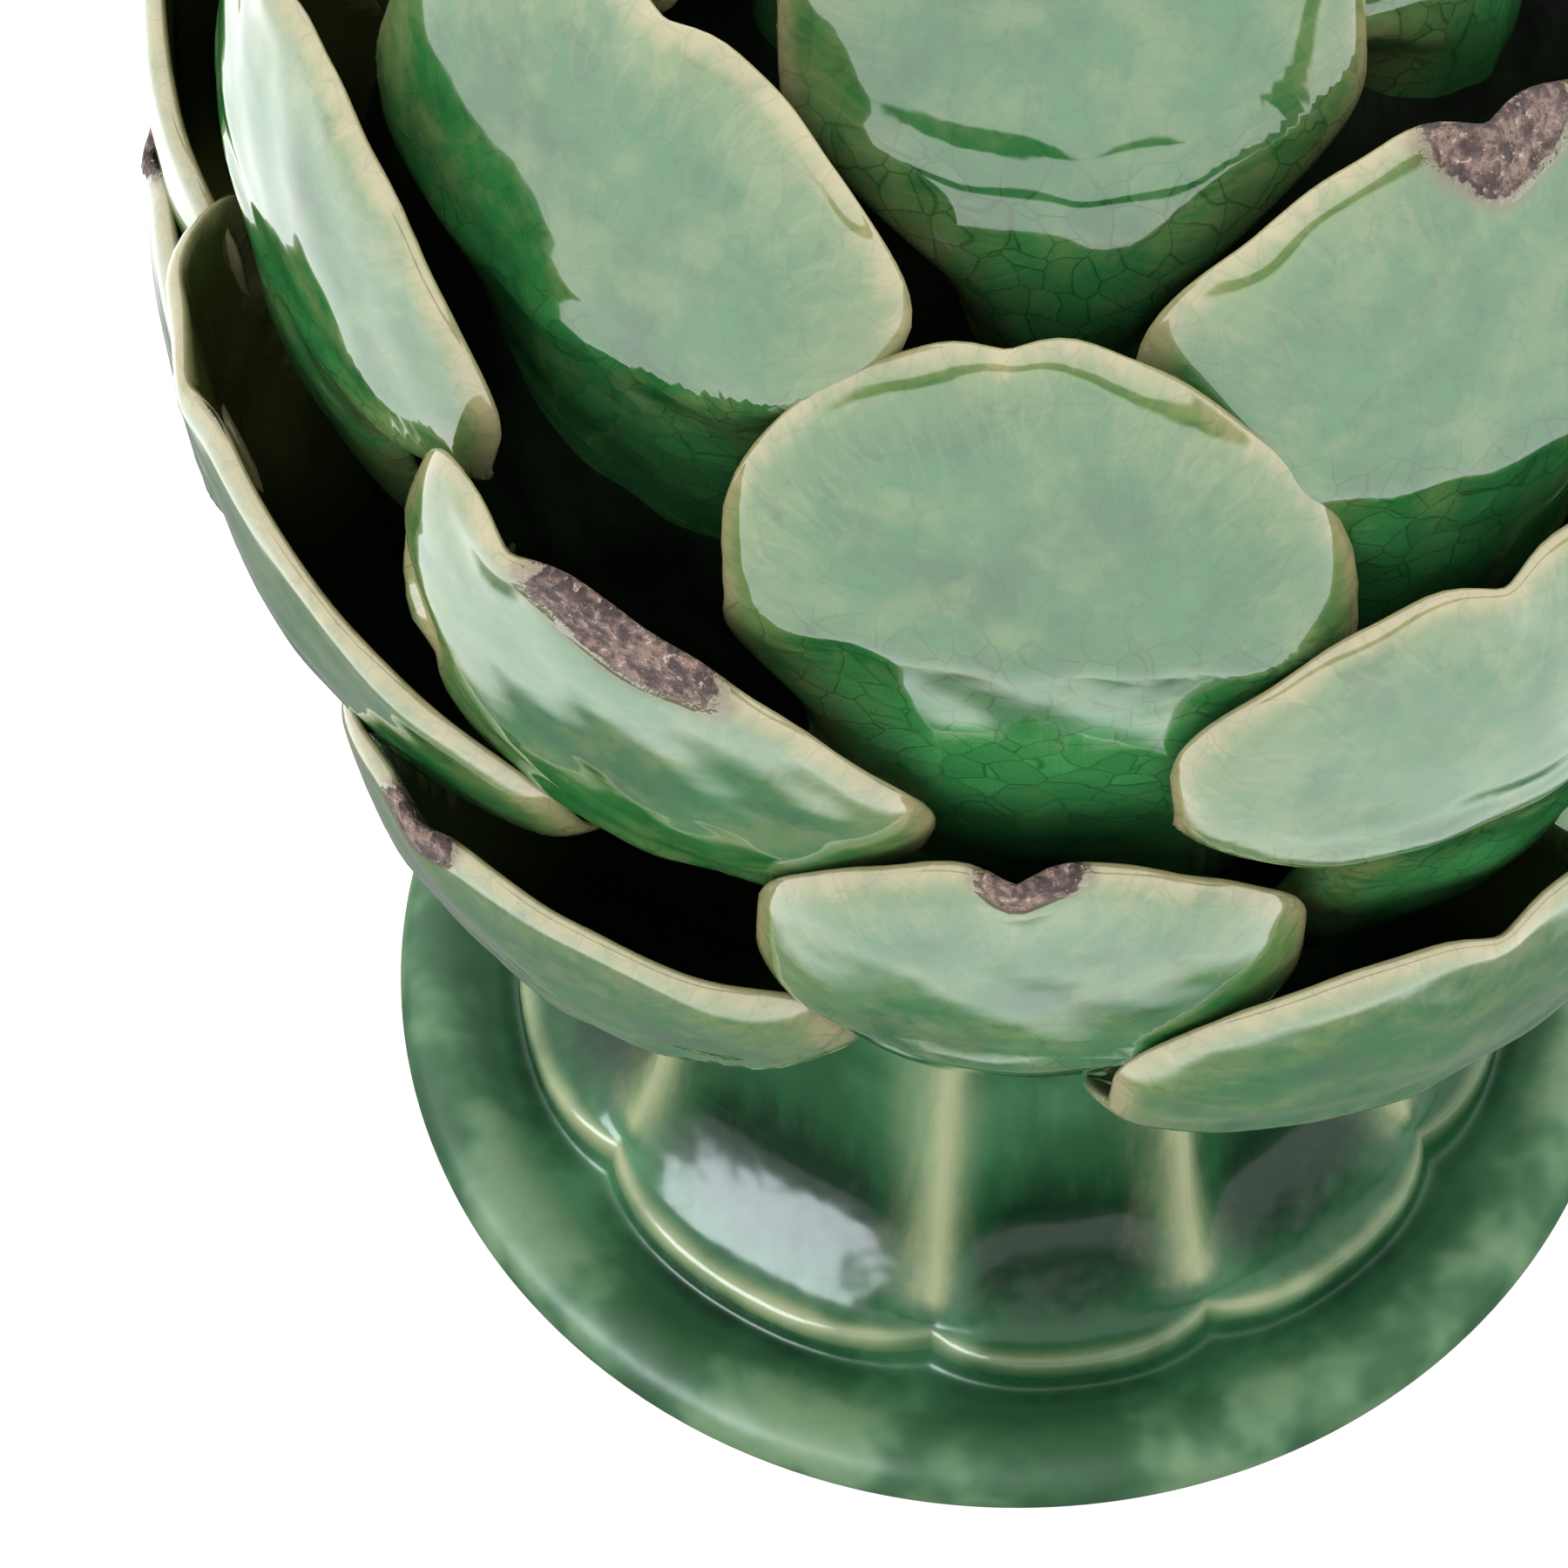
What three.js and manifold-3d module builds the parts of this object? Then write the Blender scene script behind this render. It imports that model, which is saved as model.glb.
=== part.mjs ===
// A glazed ceramic artichoke on a fluted foot: thick clay leaves laid over a bulb, and a
// round pedestal with concave flutes. Millimetres, +Z up. The origin is the middle of the
// underside, and the front of the piece faces -Y.

import * as THREE from "three";
import { mergeVertices } from "three/addons/utils/BufferGeometryUtils.js";
import Module from "manifold-3d";

const wasm = await Module();
wasm.setup();

// Driving dimensions, mm and degrees.
const HEAD_HEIGHT = 134; // middle of the bulb above the underside
const FOOT_RADIUS = 58.2; // outside of the foot's round rim
const NECK_HEIGHT = 66; // where the bulb stands on the pedestal
const NECK_RADIUS = 32.5;
const JOIN_GAP = 0.3; // slip joint between the pedestal and the bulb
const LEAF_THICKNESS = 2.8;
const RADIANS = Math.PI / 180;

// One leaf, as most of them are. A leaf is a flat face with a rounded top edge and a
// U-shaped crease. Below the crease it folds inward, then curls more slowly while it
// narrows, and its straight root sinks into the bulb.
const LEAF = {
  turn: 0, // around the bulb: 0 faces -Y, positive goes towards +X
  level: 0, // latitude of the face on the bulb
  reach: 76, // middle of the bulb to the face
  pitch: 0, // how far the face looks upward
  yaw: 0, // how far the face looks to its own right
  roll: 0, // how far its tip leans to the right, in its own plane
  half: 24.5, // half of the width
  tip: 16, // top edge above the middle of the face
  drop: 17, // corners below the top edge
  square: 2.4, // how square the shoulders are
  crease: 12, // crease below the middle of the face
  slant: 0, // right end raised and left end lowered by this much
  sway: 0, // tip shifted to the right
  notch: 1.5, // depth of the nick in the top edge
  notchAt: 0, // where the nick is, -1 to 1
  lip: 1.5, // how far the nick bends outward
  fold: 20, // angle of the fold under the crease
  foldRadius: 16,
  curl: 50, // radius of the inward curl that follows
  bend: 36, // angle of the inward curl
  tail: 14, // straight root beyond the curl
  hold: 2, // length below the crease that keeps its width
  narrow: 12, // length over which the body narrows
  waist: 0.58, // width of the root, as a share of the face
  crown: 60, // radius of the face across
  wrap: 40, // radius of the body across
  bow: 110, // radius of the face from top to bottom
  liftLeft: 0, // left and right ends raised
  liftRight: 0,
  tuckLeft: 2.5, // left and right ends rolled back
  tuckRight: 2.5,
};
const WIDE_BODY = { hold: 6, waist: 0.85 };
const ROLL_START = 0.68; // where the ends start to roll back, 0 in the middle and 1 at the side
const CORNER_FACE = 3.5; // length of the face at the corners

// The leaves of the front, each set by hand as a potter lays them.
const FRONT_LEAVES = [
  // lowest ring
  { ...WIDE_BODY, turn: -89, level: -8, reach: 76, pitch: -4, half: 26 },
  { ...WIDE_BODY, turn: -33.5, level: -20.5, reach: 80.5, pitch: -14, roll: 6, half: 25.5, tip: 12,
    drop: 12, liftRight: 2.5, tail: 2, sway: -6, notchAt: -0.35, crown: 45 },
  { ...WIDE_BODY, turn: 27, level: -20, reach: 82, pitch: -9, roll: -2, half: 29,
    tuckLeft: 0.5, tail: 2, notchAt: 0.1 },
  // second ring
  { ...WIDE_BODY, turn: -54.5, level: -2, reach: 77, pitch: -12, roll: 15, half: 28,
    slant: -3, tuckLeft: 8, tuckRight: 1, sway: -8, notchAt: -0.4, crown: 50, bow: 200 },
  { ...WIDE_BODY, turn: -1, level: -8, reach: 76.5, pitch: -1, roll: 2, half: 23.5, tip: 17,
    square: 1.8, notch: 1.7, notchAt: -0.08, lip: 2 },
  // third ring
  { turn: -97, level: 10, reach: 77, roll: 10, half: 26, crown: 42 },
  { turn: -27, level: 11, reach: 77, pitch: -5, roll: 15, half: 26, tip: 15, slant: -4, lip: 2,
    liftLeft: 6, notchAt: -0.6, crease: 22, fold: 16, foldRadius: 10, curl: 60, bend: 28,
    waist: 0.7, bow: 120 },
  { turn: 30, level: 10, reach: 77, pitch: 6, roll: -3, half: 28, tip: 19, crease: 9, fold: 12,
    foldRadius: 8, curl: 100, bend: 22 },
  // fourth ring
  { turn: -66, level: 26.5, reach: 77, pitch: 8, roll: 8, half: 28, tip: 18, square: 1.7,
    tuckRight: 1, notch: 1, notchAt: -0.4, crease: 8, fold: 6, foldRadius: 8, curl: 90,
    bend: 26 },
  { turn: -1, level: 31, reach: 77.5, pitch: 28, half: 26, tip: 18.5, drop: 24, square: 1.6,
    slant: -1.7, notch: 0.9, notchAt: -0.06, sway: -1.5, tuckLeft: 1.2, crease: 8.5, fold: 26,
    foldRadius: 7, curl: 110, bend: 22, hold: 5, narrow: 14, waist: 0.74 },
  // fifth ring
  { turn: -42.5, level: 43, reach: 76, pitch: 24, yaw: -2, roll: -2, half: 28, tip: 19.5,
    square: 2, sway: 2, tuckLeft: 3.5, tuckRight: 5, crease: 10.5, fold: 26, foldRadius: 7,
    curl: 130, bend: 18, hold: 6, waist: 0.75, crown: 250 },
  { turn: 36, level: 38, reach: 77, pitch: 28, yaw: 2, roll: 11, half: 28.5, tip: 18,
    square: 2, tuckLeft: 5, crease: 10, fold: 27, foldRadius: 12, curl: 120, bend: 18,
    hold: 5, waist: 0.7 },
  // sixth ring
  { turn: 2, level: 63, reach: 75, pitch: 55, half: 24, tip: 18, crease: 12, fold: 56,
    foldRadius: 13, curl: 60, bend: 24, narrow: 22, waist: 0.45 },
  { turn: 64, level: 68, reach: 73, pitch: 54, half: 24, tip: 18, fold: 52, foldRadius: 13,
    curl: 60, bend: 26 },
];

// The leaves round the back, ring by ring, and those that close the bud.
const REST_OF_RINGS = [
  { ...WIDE_BODY, turns: [88, 148, 208], level: -18, reach: 79, pitch: -12, half: 26.5,
    tail: 2 },
  { ...WIDE_BODY, turns: [59, 119, 178, 237], level: -5, reach: 77, pitch: -8, half: 26 },
  { turns: [90, 149, 206], level: 11, reach: 77, pitch: 3, half: 26, crease: 9, fold: 12,
    foldRadius: 8, curl: 70, bend: 28 },
  { turns: [66, 124, 181, 239], level: 28, reach: 76.5, pitch: 20, half: 26, tip: 19,
    crease: 10, fold: 20, foldRadius: 8, curl: 75, bend: 28 },
  { turns: [108, 180, 250], level: 44, reach: 76, pitch: 26, half: 27, tip: 20, crease: 11,
    fold: 26, foldRadius: 10, curl: 75, bend: 28 },
  { turns: [136, 207, 276], level: 61, reach: 74, pitch: 50, half: 24, tip: 18, crease: 11,
    fold: 48, foldRadius: 12, curl: 60, bend: 26 },
  { turns: [32, 104, 176, 248, 320], level: 74, reach: 73, pitch: 54, half: 17, tip: 14,
    drop: 12, crease: 8, crown: 28, wrap: 18, fold: 50, foldRadius: 12, curl: 40, bend: 26 },
  { turns: [70, 190, 310], level: 84, reach: 74, pitch: 33, half: 11, tip: 10, drop: 8,
    crease: 5, notch: 1, crown: 12, wrap: 10, fold: 30, foldRadius: 12, curl: 30, bend: 30 },
];

// How much the leaves of the rings differ from one another, either way.
const HAND = { turn: 3, level: 1.5, reach: 0.8, pitch: 3, yaw: 4, roll: 7, half: 1, tip: 1,
  sway: 3, notchAt: 0.4 };
const HAND_SEED = 2711;

// A repeatable source of numbers from 0 to 1.
function makeDraw(seed) {
  const modulus = 2147483647;
  let state = seed;
  return () => {
    state = (state * 16807) % modulus;
    return state / modulus;
  };
}

function allLeaves() {
  const draw = makeDraw(HAND_SEED);
  const leaves = FRONT_LEAVES.map((leaf) => ({ ...LEAF, ...leaf }));
  for (const { turns, ...ring } of REST_OF_RINGS) {
    for (const turn of turns) {
      const leaf = { ...LEAF, ...ring, turn };
      for (const [name, spread] of Object.entries(HAND)) {
        leaf[name] += spread * (2 * draw() - 1);
      }
      leaves.push(leaf);
    }
  }
  return leaves;
}

// The leaf's own axes: right across the face, up the face, and out of it.
function leafAxes(leaf) {
  const turn = leaf.turn * RADIANS;
  const pitch = leaf.pitch * RADIANS;
  const yaw = leaf.yaw * RADIANS;
  const roll = leaf.roll * RADIANS;
  const radial = new THREE.Vector3(Math.sin(turn), -Math.cos(turn), 0);
  const across = new THREE.Vector3(Math.cos(turn), Math.sin(turn), 0);
  const upright = new THREE.Vector3(0, 0, 1);
  const out = radial.clone().multiplyScalar(Math.cos(pitch));
  out.addScaledVector(upright, Math.sin(pitch));
  const up = upright.clone().multiplyScalar(Math.cos(pitch));
  up.addScaledVector(radial, -Math.sin(pitch));
  const right = across.clone().multiplyScalar(Math.cos(yaw));
  right.addScaledVector(out, -Math.sin(yaw));
  const outward = out.clone().multiplyScalar(Math.cos(yaw));
  outward.addScaledVector(across, Math.sin(yaw));
  const rightRolled = right.clone().multiplyScalar(Math.cos(roll));
  rightRolled.addScaledVector(up, -Math.sin(roll));
  const upRolled = up.clone().multiplyScalar(Math.cos(roll));
  upRolled.addScaledVector(right, Math.sin(roll));
  return { right: rightRolled, up: upRolled, out: outward, radial };
}

function smooth(value) {
  const t = Math.min(1, Math.max(0, value));
  return t * t * (3 - 2 * t);
}

// How near a place across the leaf is to its nick, 0 to 1.
function nickAt(leaf, across) {
  const nickWidth = 0.13;
  return Math.exp(-(((across - leaf.notchAt) / nickWidth) ** 2));
}

// Top edge and length of face of one lengthwise line of a leaf.
function leafLine(leaf, across) {
  const side = Math.abs(across);
  const nick = nickAt(leaf, across);
  const lift = across < 0 ? leaf.liftLeft * side ** 3 : leaf.liftRight * side ** 3;
  const rounding = 1 - Math.sqrt(Math.max(0, 1 - side ** leaf.square));
  const top = leaf.tip - leaf.drop * rounding + leaf.slant * across - leaf.notch * nick + lift;
  const corner = leaf.tip - leaf.drop - CORNER_FACE + lift;
  const crease = -leaf.crease + (leaf.crease + corner) * side ** 2.2 + 0.8 * leaf.slant * across;
  return { top, face: Math.max(1, top - crease), nick };
}

// Height lost and depth gained below the crease: a fold, a slower curl, then straight.
function curlPath(leaf, below) {
  const fold = leaf.fold * RADIANS;
  const bend = leaf.bend * RADIANS;
  const folded = Math.min(below / leaf.foldRadius, fold);
  const pastFold = below - leaf.foldRadius * fold;
  const turned = fold + Math.min(Math.max(pastFold / leaf.curl, 0), bend);
  const tail = Math.max(0, pastFold - leaf.curl * bend);
  const lost = leaf.foldRadius * Math.sin(folded)
    + leaf.curl * (Math.sin(turned) - Math.sin(fold)) + tail * Math.cos(fold + bend);
  const depth = leaf.foldRadius * (1 - Math.cos(folded))
    + leaf.curl * (Math.cos(fold) - Math.cos(turned)) + tail * Math.sin(fold + bend);
  return { lost, depth };
}

function curlLength(leaf) {
  return leaf.foldRadius * leaf.fold * RADIANS + leaf.curl * leaf.bend * RADIANS;
}

// How far the left and right ends roll back.
function rolledEnd(leaf, across) {
  const past = Math.max(0, (Math.abs(across) - ROLL_START) / (1 - ROLL_START));
  return (across < 0 ? leaf.tuckLeft : leaf.tuckRight) * past ** 2;
}

// A point of the leaf's outer face: across is -1 to 1, and down is measured from the top edge.
function leafPoint(leaf, axes, across, down) {
  const { top, face, nick } = leafLine(leaf, across);
  const below = Math.max(0, down - face);
  const { lost, depth } = curlPath(leaf, below);
  const height = top - Math.min(down, face) - lost;
  const narrowing = (1 - leaf.waist) * smooth((below - leaf.hold) / leaf.narrow);
  const half = leaf.half * (1 - narrowing);
  const swayStart = 8;
  const shift = leaf.sway * Math.max(0, (height + swayStart) / (leaf.tip + swayStart));
  const side = across * half + shift;
  const lip = leaf.lip * nick * Math.exp(-down / 4);
  const wrapping = smooth(below / 10);
  const roundness = (1 - wrapping) / leaf.crown + wrapping / leaf.wrap;
  const onFace = Math.max(height, top - face);
  const bowed = onFace ** 2 / 2 + onFace * (height - onFace);
  const out = lip - depth - (side ** 2 * roundness) / 2 - bowed / leaf.bow
    - rolledEnd(leaf, across);
  const level = leaf.level * RADIANS;
  const point = axes.radial.clone().multiplyScalar(leaf.reach * Math.cos(level));
  point.z += HEAD_HEIGHT + leaf.reach * Math.sin(level);
  point.addScaledVector(axes.up, height);
  point.addScaledVector(axes.right, side);
  point.addScaledVector(axes.out, out);
  return point;
}

function leafNormal(leaf, axes, across, down) {
  const step = 0.01;
  const slip = 0.3;
  const height = leafLine(leaf, across).top - down;
  const [left, right] = [across - step, across + step].map((place) => {
    const { top } = leafLine(leaf, place);
    return leafPoint(leaf, axes, place, top - height);
  });
  const upper = leafPoint(leaf, axes, across, down - slip);
  const lower = leafPoint(leaf, axes, across, down + slip);
  const acrossStep = right.sub(left);
  const upStep = upper.sub(lower);
  return acrossStep.cross(upStep).normalize();
}

// Places across a leaf, with one at its nick.
function acrossPlaces(leaf) {
  const cells = 3;
  const places = [];
  for (let i = 0; i <= cells; i += 1) places.push(-1 + ((leaf.notchAt + 1) * i) / cells);
  for (let i = 1; i <= cells; i += 1) places.push(leaf.notchAt + ((1 - leaf.notchAt) * i) / cells);
  return places;
}

// Places down a line of a leaf: top edge, crease, under the fold, waist, curl's end and root.
function downPlaces(leaf, across) {
  const { face } = leafLine(leaf, across);
  const underFold = 5;
  const atWaist = 13;
  const curled = face + curlLength(leaf);
  return [0, face, face + underFold, face + atWaist, curled, curled + leaf.tail];
}

function indexedGeometry(points, triangles) {
  const geometry = new THREE.BufferGeometry();
  const numbers = points.flatMap((point) => [point.x, point.y, point.z]);
  geometry.setAttribute("position", new THREE.Float32BufferAttribute(numbers, 3));
  geometry.setIndex(triangles);
  return geometry;
}

function leafGeometry(leaf) {
  const axes = leafAxes(leaf);
  const places = acrossPlaces(leaf);
  const columns = places.length;
  const lines = places.map((across) => downPlaces(leaf, across));
  const rows = lines[0].length;
  const outer = [];
  const inner = [];
  for (let row = 0; row < rows; row += 1) {
    places.forEach((across, column) => {
      const down = lines[column][row];
      const point = leafPoint(leaf, axes, across, down);
      const normal = leafNormal(leaf, axes, across, down);
      outer.push(point);
      inner.push(point.clone().addScaledVector(normal, -LEAF_THICKNESS));
    });
  }
  const count = columns * rows;
  const triangles = [];
  for (let row = 0; row + 1 < rows; row += 1) {
    for (let column = 0; column + 1 < columns; column += 1) {
      const a = row * columns + column;
      const b = a + 1;
      const c = a + columns;
      const d = c + 1;
      triangles.push(a, c, d, a, d, b);
      triangles.push(count + a, count + d, count + c, count + a, count + b, count + d);
    }
  }
  const closeEdge = (from, to) => {
    triangles.push(from, to, count + to, from, count + to, count + from);
  };
  for (let column = 0; column + 1 < columns; column += 1) {
    closeEdge(column, column + 1);
    const last = (rows - 1) * columns + column;
    closeEdge(last + 1, last);
  }
  for (let row = 0; row + 1 < rows; row += 1) {
    const first = row * columns;
    closeEdge(first + columns, first);
    closeEdge(first + columns - 1, first + 2 * columns - 1);
  }
  return indexedGeometry([...outer, ...inner], triangles);
}

// A revolved body about +Z from a profile of [radius, height] pairs.
function revolved(profile, segments) {
  const outline = profile.map(([radius, height]) => new THREE.Vector2(radius, height));
  return new THREE.LatheGeometry(outline, segments).rotateX(Math.PI / 2);
}

function bulbGeometry() {
  const bottom = NECK_HEIGHT + JOIN_GAP;
  const profile = [
    [0, bottom], [NECK_RADIUS, bottom], [NECK_RADIUS + 4, bottom + 3], [46, 76], [54, 86],
    [58.5, 99], [59.5, 114], [58, 130], [54, 148], [46.5, 166], [34, 183], [19, 194], [0, 199],
  ];
  return revolved(profile, 30);
}

function toSolid(geometry) {
  const bare = geometry.clone();
  bare.deleteAttribute("normal");
  bare.deleteAttribute("uv");
  const merged = mergeVertices(bare, 1e-4);
  return new wasm.Manifold(new wasm.Mesh({
    numProp: 3,
    vertProperties: new Float32Array(merged.attributes.position.array),
    triVerts: new Uint32Array(merged.index.array),
  }));
}

function toGeometry(solid) {
  const mesh = solid.getMesh();
  const geometry = new THREE.BufferGeometry();
  geometry.setAttribute("position", new THREE.BufferAttribute(mesh.vertProperties, 3));
  geometry.setIndex(new THREE.BufferAttribute(mesh.triVerts, 1));
  return geometry;
}

// Keeps the outer skin of a fused solid, and drops sealed pockets and loose scraps.
function outerSkin(geometry) {
  const index = Array.from(geometry.index.array);
  const position = geometry.attributes.position;
  const parent = Array.from({ length: position.count }, (_, i) => i);
  const find = (vertex) => {
    let root = vertex;
    while (parent[root] !== root) root = parent[root];
    parent[vertex] = root;
    return root;
  };
  for (let i = 0; i < index.length; i += 3) {
    parent[find(index[i + 1])] = find(index[i]);
    parent[find(index[i + 2])] = find(index[i]);
  }
  const volumes = new Map();
  const corner = [new THREE.Vector3(), new THREE.Vector3(), new THREE.Vector3()];
  for (let i = 0; i < index.length; i += 3) {
    corner.forEach((point, j) => point.fromBufferAttribute(position, index[i + j]));
    const volume = corner[0].dot(corner[1].clone().cross(corner[2])) / 6;
    const root = find(index[i]);
    volumes.set(root, (volumes.get(root) ?? 0) + volume);
  }
  const [skin] = [...volumes].sort((one, other) => other[1] - one[1])[0];
  const kept = [];
  for (let i = 0; i < index.length; i += 3) {
    if (find(index[i]) === skin) kept.push(index[i], index[i + 1], index[i + 2]);
  }
  geometry.setIndex(kept);
  return geometry;
}

function headGeometry() {
  let head = toSolid(bulbGeometry());
  for (const leaf of allLeaves()) head = head.add(toSolid(leafGeometry(leaf)));
  return outerSkin(toGeometry(head));
}

// Where the raised ribs between the flutes are, in degrees as a leaf's turn.
const RIB_TURNS = [-58, -10.5, 23.5, 60, 100, 140, 180, 220, 261];
const FLUTE_CELLS = 6;

// Each level of the pedestal: the radius on a rib, the height, and how far the surface
// goes in (or, on the scalloped edge, out) in the middle of a flute.
const PEDESTAL_LEVELS = [
  { radius: 53, height: 0, hollow: 0 },
  { radius: 56.6, height: 1, hollow: 0 },
  { radius: FOOT_RADIUS, height: 3.4, hollow: 0 },
  { radius: 57, height: 6.2, hollow: 0 },
  { radius: 53.4, height: 7.2, hollow: 0 },
  { radius: 48.8, height: 6, hollow: -0.6 },
  { radius: 45.2, height: 5.6, hollow: -1.8 },
  { radius: 44.2, height: 9.2, hollow: -2.6 },
  { radius: 42.8, height: 10.8, hollow: -0.8 },
  { radius: 40.4, height: 17, hollow: 3 },
  { radius: 39.2, height: 22, hollow: 3.4 },
  { radius: 37.4, height: 32, hollow: 3 },
  { radius: 35.2, height: 44, hollow: 2.4 },
  { radius: 33.4, height: 56, hollow: 1.6 },
  { radius: NECK_RADIUS, height: NECK_HEIGHT, hollow: 0 },
];

// Turns of the pedestal's columns, each with its place in a flute: 0 on a rib, 1 between.
function pedestalColumns() {
  const columns = [];
  RIB_TURNS.forEach((rib, i) => {
    const next = i + 1 < RIB_TURNS.length ? RIB_TURNS[i + 1] : RIB_TURNS[0] + 360;
    for (let cell = 0; cell < FLUTE_CELLS; cell += 1) {
      const share = cell / FLUTE_CELLS;
      const flute = 1 - Math.abs(2 * share - 1) ** 3;
      columns.push({ turn: rib + (next - rib) * share, flute });
    }
  });
  return columns;
}

function footGeometry() {
  const columns = pedestalColumns();
  const points = [];
  for (const level of PEDESTAL_LEVELS) {
    for (const { turn, flute } of columns) {
      const radius = level.radius - level.hollow * flute;
      const angle = turn * RADIANS;
      const x = radius * Math.sin(angle);
      const y = -radius * Math.cos(angle);
      points.push(new THREE.Vector3(x, y, level.height));
    }
  }
  const count = columns.length;
  const triangles = [];
  for (let row = 0; row + 1 < PEDESTAL_LEVELS.length; row += 1) {
    for (let i = 0; i < count; i += 1) {
      const j = (i + 1) % count;
      const a = row * count;
      const b = a + count;
      triangles.push(a + i, a + j, b + j, a + i, b + j, b + i);
    }
  }
  const under = points.push(new THREE.Vector3(0, 0, 0)) - 1;
  const over = points.push(new THREE.Vector3(0, 0, NECK_HEIGHT)) - 1;
  const lastRow = (PEDESTAL_LEVELS.length - 1) * count;
  for (let i = 0; i < count; i += 1) {
    const j = (i + 1) % count;
    triangles.push(under, j, i);
    triangles.push(over, lastRow + i, lastRow + j);
  }
  return indexedGeometry(points, triangles);
}

function glaze(colour, roughness) {
  return new THREE.MeshStandardMaterial({ color: colour, roughness, metalness: 0 });
}

function piece(name, geometry, material) {
  const mesh = new THREE.Mesh(geometry, material);
  mesh.name = name;
  return mesh;
}

const artichoke = new THREE.Group();
artichoke.add(piece("head", headGeometry(), glaze(0x6ea573, 0.12)));
artichoke.add(piece("foot", footGeometry(), glaze(0x3f7d52, 0.12)));

export default artichoke;
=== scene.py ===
# Looks of the glazed ceramic artichoke: fine leaves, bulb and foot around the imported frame.
# Shapes are worked out in millimetres, in the frame's own axes, and made in metres.
import math
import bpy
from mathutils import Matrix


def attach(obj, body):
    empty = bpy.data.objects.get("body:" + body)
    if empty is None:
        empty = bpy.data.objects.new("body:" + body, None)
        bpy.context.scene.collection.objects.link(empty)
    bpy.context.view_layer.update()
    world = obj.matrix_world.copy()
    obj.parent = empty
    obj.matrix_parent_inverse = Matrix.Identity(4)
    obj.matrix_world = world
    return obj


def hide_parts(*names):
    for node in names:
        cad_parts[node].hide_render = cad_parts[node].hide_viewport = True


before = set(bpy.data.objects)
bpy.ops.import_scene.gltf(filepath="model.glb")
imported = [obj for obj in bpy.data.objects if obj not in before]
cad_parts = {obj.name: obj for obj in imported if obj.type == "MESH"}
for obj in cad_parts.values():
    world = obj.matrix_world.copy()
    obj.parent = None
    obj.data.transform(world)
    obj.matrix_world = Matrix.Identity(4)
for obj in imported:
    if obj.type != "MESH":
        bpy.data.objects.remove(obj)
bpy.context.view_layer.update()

from types import SimpleNamespace

import bpy
import numpy as np
from mathutils import Matrix, Vector

MM = 0.001

# Driving dimensions, mm, as in the part's source.
HEAD_HEIGHT = 134
FOOT_RADIUS = 58.2
NECK_HEIGHT = 66
NECK_RADIUS = 32.5
JOIN_GAP = 0.3
LEAF_THICKNESS = 2.8

# Fine shape of a leaf, mm.
OUTER_ROUND = 3.2  # the outer face rolls over to the rim within this distance
INNER_ROUND = 1.6  # and the inner face within this one
THIN_RIM = 0.4  # share of the inner half of the thickness that is left beside the rim
THICKENING = 11.0  # distance from the rim where all of it is there
GRID_STEP = 1.25  # size of the cells of a leaf's mesh
EDGE_ANGLE_STEP = 15  # degrees between the rows that turn over the rim
TAIL_ROWS = 5  # rows of the straight end that sinks into the bulb


# ---------------------------------------------------------------- leaves, as listed

LEAF = dict(
    turn=0, level=0, reach=76, pitch=0, yaw=0, roll=0, half=24.5, tip=16, drop=17,
    square=2.4, crease=12, slant=0, sway=0, notch=1.5, notch_at=0, lip=1.5, fold=20,
    fold_radius=16, curl=50, bend=36, tail=14, hold=2, narrow=12, waist=0.58, crown=60,
    wrap=40, bow=110, lift_left=0, lift_right=0, tuck_left=2.5, tuck_right=2.5,
)

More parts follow.
